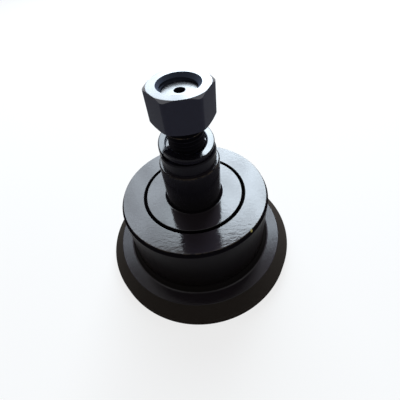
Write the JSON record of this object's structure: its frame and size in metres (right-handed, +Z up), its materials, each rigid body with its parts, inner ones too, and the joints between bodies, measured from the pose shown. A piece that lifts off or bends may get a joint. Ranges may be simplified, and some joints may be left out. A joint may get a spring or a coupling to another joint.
{
  "type": "track bottom roller",
  "caption": "Flanged track bottom roller that turns on ball bearings round a one-sided stub axle with a threaded stud, lock washer and nut.",
  "frame": {"origin": "centre of the roller shell's closed end, on which the roller stands", "axes": "+Z up the axle from the closed end to the stud, +X through one corner of the nut, -Y towards the viewer of the picture"},
  "size_m": [0.16, 0.16, 0.1577],
  "materials": {
    "black_paint": "gloss black enamel over machined steel",
    "bearing_steel": "ground and polished",
    "spring_steel": "oil-blackened",
    "bright_steel": "turned, lightly oiled",
    "brass_cage": "machined",
    "seal_rubber": "moulded nitrile",
    "copper_washer": "annealed copper"
  },
  "bodies": {
    "axle": {"axle": "black_paint", "upper_bearing_inner_race": "bearing_steel", "lower_bearing_inner_race": "bearing_steel", "inner_spacer_sleeve": "bright_steel", "axle_shim_washer": "bright_steel", "axle_circlip": "spring_steel", "spring_lock_washer": "black_paint"},
    "roller": {"roller_shell": "black_paint", "seal_case": "bright_steel", "seal_lip": "seal_rubber", "seal_garter_spring": "spring_steel", "upper_bearing_outer_race": "bearing_steel", "lower_bearing_outer_race": "bearing_steel", "outer_spacer_ring": "bright_steel", "bearing_circlip": "spring_steel", "end_cap": "black_paint", "cap_o_ring": "seal_rubber", "cap_circlip": "spring_steel", "grease_plug": "bright_steel", "plug_washer": "copper_washer"},
    "upper_ball_set": {"upper_bearing_cage": "brass_cage", "upper_bearing_balls": "bearing_steel"},
    "lower_ball_set": {"lower_bearing_cage": "brass_cage", "lower_bearing_balls": "bearing_steel"},
    "nut": {"axle_nut": "black_paint"}
  },
  "joints": [
    {"name": "roller_spin", "type": "hinge", "parent": "axle", "child": "roller", "pos_m": [0, 0, 0.0339], "axis": [0, 0, 1], "continuous": true},
    {"name": "upper_balls_spin", "type": "hinge", "parent": "axle", "child": "upper_ball_set", "pos_m": [0, 0, 0.0439], "axis": [0, 0, 1], "continuous": true},
    {"name": "lower_balls_spin", "type": "hinge", "parent": "axle", "child": "lower_ball_set", "pos_m": [0, 0, 0.0239], "axis": [0, 0, 1], "continuous": true},
    {"name": "nut_travel", "type": "slide", "parent": "axle", "child": "nut", "axis": [0, 0, 1], "range_m": [-0.009, 0.012]}
  ],
  "couplings": [
    {"joint": "upper_balls_spin", "follows": "roller_spin", "ratio": 0.6039},
    {"joint": "lower_balls_spin", "follows": "roller_spin", "ratio": 0.6039}
  ]
}
